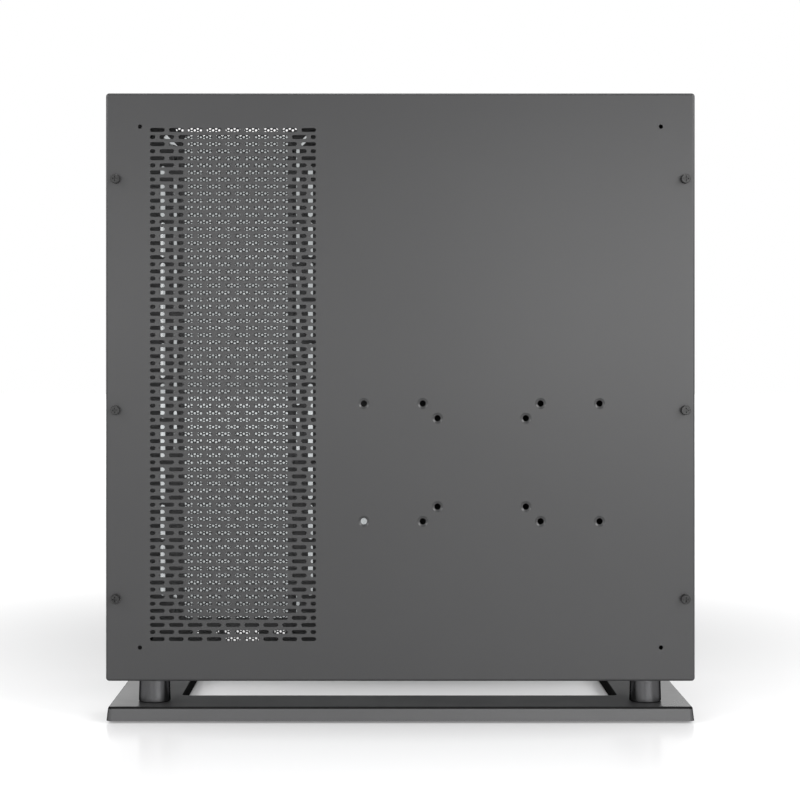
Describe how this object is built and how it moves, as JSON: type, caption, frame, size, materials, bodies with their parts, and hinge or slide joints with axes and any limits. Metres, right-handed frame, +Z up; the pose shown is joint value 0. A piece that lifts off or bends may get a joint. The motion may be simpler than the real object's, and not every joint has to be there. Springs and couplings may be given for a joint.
{
  "type": "mid-tower pc case",
  "caption": "Open-frame computer case: flat steel body with vented rear cover and wall-arm holes, glass front on posts, standing on a frame base.",
  "frame": {"origin": "floor level under the middle of the overall box", "axes": "+X right as seen from behind, +Y from the rear cover to the glass, +Z up"},
  "size_m": [0.5, 0.3396, 0.535],
  "materials": {
    "cover": "fine matt powder coat, dark grey",
    "shell": "fine matt powder coat, dark grey",
    "blank": "fine matt powder coat, dark grey",
    "base": "fine satin powder coat, dark grey",
    "post": "satin paint",
    "screw": "black plated",
    "cap": "satin black",
    "brass": "turned",
    "glass": "polished, lightly smoked",
    "rubber": "matt",
    "bezel": "matt",
    "button": "satin",
    "port": "plated",
    "board": "lacquered laminate"
  },
  "bodies": {
    "case": {"audio_jack_lower": "bezel", "audio_jack_upper": "bezel", "base_feet": "rubber", "base_frame": "base", "board_standoffs": "brass", "bracket_screws": "screw", "chassis_shell": "shell", "drive_bracket_lower": "shell", "drive_bracket_upper": "shell", "drive_screws": "screw", "fan_screen": "shell", "glass_cap_bottom_left": "cap", "glass_cap_bottom_right": "cap", "glass_cap_top_left": "cap", "glass_cap_top_right": "cap", "glass_panel": "glass", "glass_post_bottom_left": "post", "glass_post_bottom_right": "post", "glass_post_screws": "screw", "glass_post_top_left": "post", "glass_post_top_right": "post", "glass_washers": "rubber", "grommet_power_cables": "rubber", "grommet_side_lower": "rubber", "grommet_side_upper": "rubber", "grommet_under_board": "rubber", "io_bezel": "bezel", "io_board": "board", "pci_bracket": "shell", "post_bolts": "screw", "post_nuts": "screw", "power_switch": "bezel", "psu_bracket": "shell", "rear_cover": "cover", "reset_switch": "bezel", "slot_cover_1": "blank", "slot_cover_2": "blank", "slot_cover_3": "blank", "slot_cover_4": "blank", "slot_cover_5": "blank", "slot_cover_6": "blank", "slot_cover_7": "blank", "slot_cover_8": "blank", "slot_screws": "screw", "stand_post_left": "post", "stand_post_right": "post", "thumb_screws": "screw", "usb_a_lower": "port", "usb_a_upper": "port", "usb_c_port": "port"},
    "power_button": {"power_button": "button"},
    "reset_button": {"reset_button": "button"}
  },
  "joints": [
    {"name": "power_press", "type": "slide", "parent": "case", "child": "power_button", "axis": [1, 0, 0], "range_m": [0, 0.0015], "stiffness_N_per_m": 800, "springref_m": -0.0005},
    {"name": "reset_press", "type": "slide", "parent": "case", "child": "reset_button", "axis": [1, 0, 0], "range_m": [0, 0.0015], "stiffness_N_per_m": 600, "springref_m": -0.0005}
  ]
}
